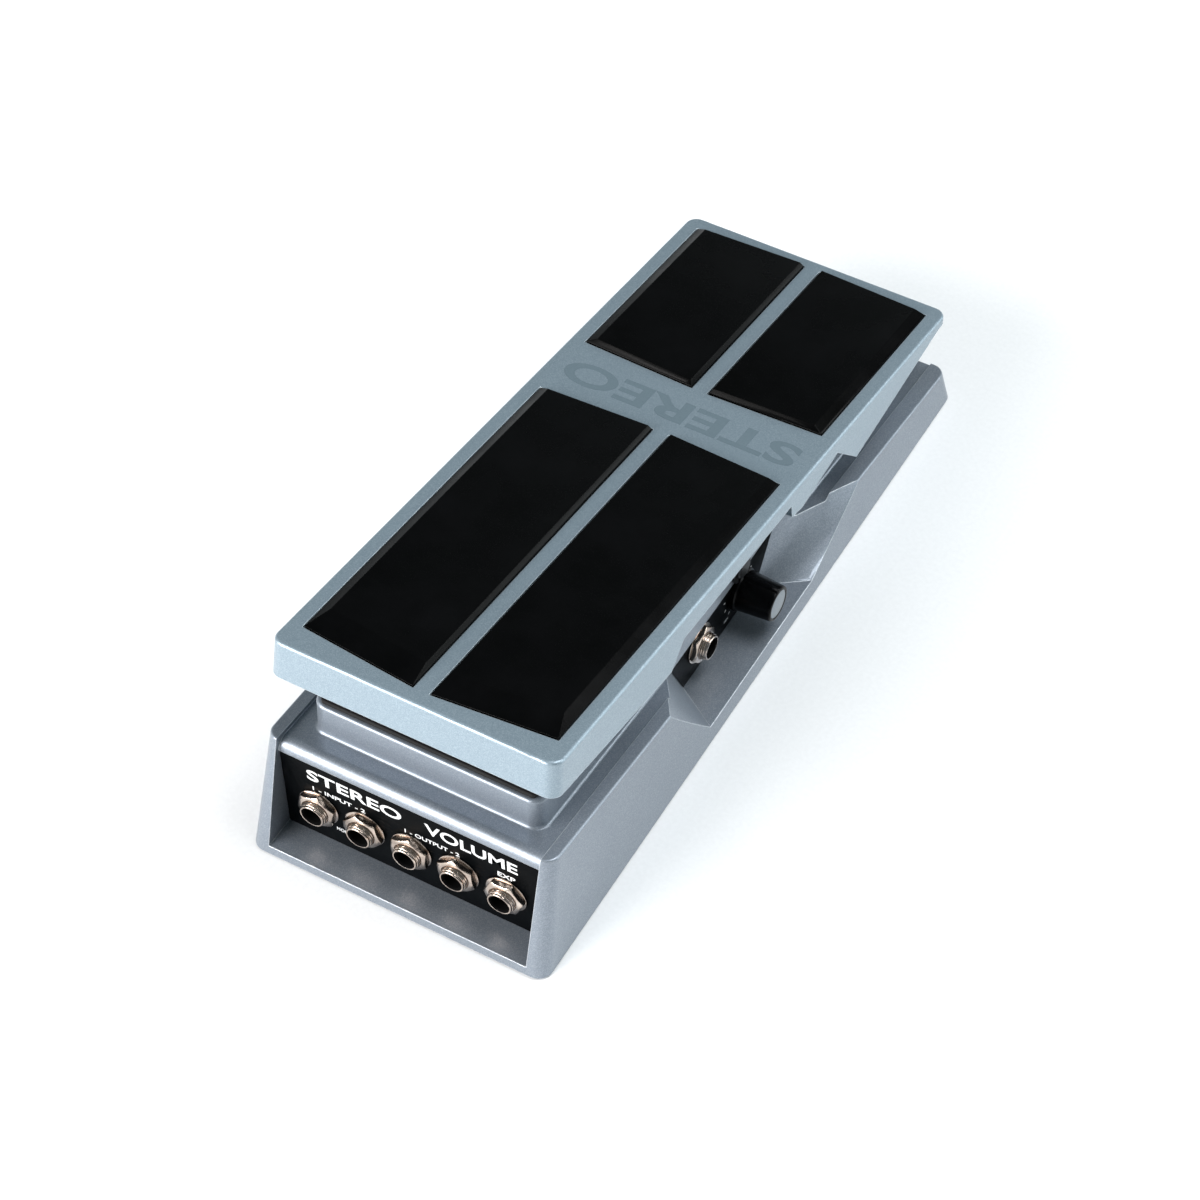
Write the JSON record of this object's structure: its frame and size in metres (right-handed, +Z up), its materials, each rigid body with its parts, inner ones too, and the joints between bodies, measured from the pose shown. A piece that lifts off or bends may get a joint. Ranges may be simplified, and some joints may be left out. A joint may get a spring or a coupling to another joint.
{
  "type": "stereo volume pedal",
  "caption": "Rocking treadle with black rubber pads on a wedge-shaped cast base, a row of jack sockets at the toe end, a side socket and a small level knob.",
  "frame": {"origin": "bottom centre of the footprint, on the floor", "axes": "+Z up; -Y towards the toe end with the jack row; +X towards the side with the knob; Y along the pedal's length"},
  "size_m": [0.11, 0.2886, 0.0859],
  "materials": {
    "base_paint": "fine metallic silver-grey paint on die-cast aluminium, satin",
    "treadle_paint": "fine metallic blue-silver paint on die-cast aluminium, satin",
    "pad_rubber": "smooth moulded black rubber",
    "panel_black": "black powder-coated steel sheet with white legends",
    "nickel": "bright nickel plating",
    "socket_plastic": "black moulded socket body",
    "circuit_board": "green solder mask on glass-fibre board",
    "zinc_steel": "bright zinc-plated steel",
    "black_steel": "black-coated steel sheet",
    "sole_rubber": "ribbed black rubber sheet",
    "black_oxide": "black-oxide treated steel",
    "bronze": "sintered bronze",
    "fibre": "red-brown fibre washer",
    "gear_nylon": "natural white nylon",
    "pot_can": "pressed steel can",
    "knob_plastic": "black moulded plastic",
    "cap_aluminium": "spun aluminium inlay"
  },
  "bodies": {
    "base": {"base_casting": "base_paint", "bottom_plate": "black_steel", "rubber_sole": "sole_rubber", "bottom_screws": "zinc_steel", "jack_panel": "panel_black", "input_jack_1": "socket_plastic", "input_jack_2": "socket_plastic", "output_jack_1": "socket_plastic", "output_jack_2": "socket_plastic", "exp_jack": "socket_plastic", "jack_bushings": "nickel", "jack_washers": "nickel", "jack_nuts": "nickel", "jack_board": "circuit_board", "board_screws": "zinc_steel", "side_panel": "panel_black", "tuner_jack": "socket_plastic", "tuner_jack_bushing": "nickel", "tuner_jack_washer": "nickel", "tuner_jack_nut": "nickel", "min_volume_pot": "pot_can", "min_volume_pot_nut": "nickel", "side_board": "circuit_board", "pivot_shaft": "black_oxide", "shaft_clips": "black_oxide", "friction_washers": "fibre", "volume_pot": "pot_can", "volume_pot_nut": "nickel", "pot_bracket": "zinc_steel", "bracket_screws": "zinc_steel", "toe_stop": "sole_rubber", "heel_stop": "sole_rubber"},
    "treadle": {"treadle_casting": "treadle_paint", "toe_pad_left": "pad_rubber", "toe_pad_right": "pad_rubber", "heel_pad_left": "pad_rubber", "heel_pad_right": "pad_rubber", "pivot_bush_left": "bronze", "pivot_bush_right": "bronze", "sector_gear": "gear_nylon", "sector_screws": "zinc_steel"},
    "volume_wiper": {"pinion_gear": "gear_nylon", "volume_pot_shaft": "cap_aluminium"},
    "min_volume_dial": {"min_volume_knob": "knob_plastic", "knob_cap": "cap_aluminium", "min_volume_shaft": "cap_aluminium"}
  },
  "joints": [
    {"name": "treadle_tilt", "type": "hinge", "parent": "base", "child": "treadle", "pos_m": [0, 0.007, 0.038], "axis": [1, 0, 0], "range_deg": [0, 10.5]},
    {"name": "volume_pot_spin", "type": "hinge", "parent": "base", "child": "volume_wiper", "pos_m": [-0.0155, -0.05173, 0.02226], "axis": [1, 0, 0], "range_deg": [-122.5, 0]},
    {"name": "min_volume_turn", "type": "hinge", "parent": "base", "child": "min_volume_dial", "pos_m": [0.045, 0.0115, 0.0208], "axis": [1, 0, 0], "range_deg": [-140, 140]}
  ],
  "couplings": [
    {"joint": "volume_pot_spin", "follows": "treadle_tilt", "ratio": -11.667}
  ]
}
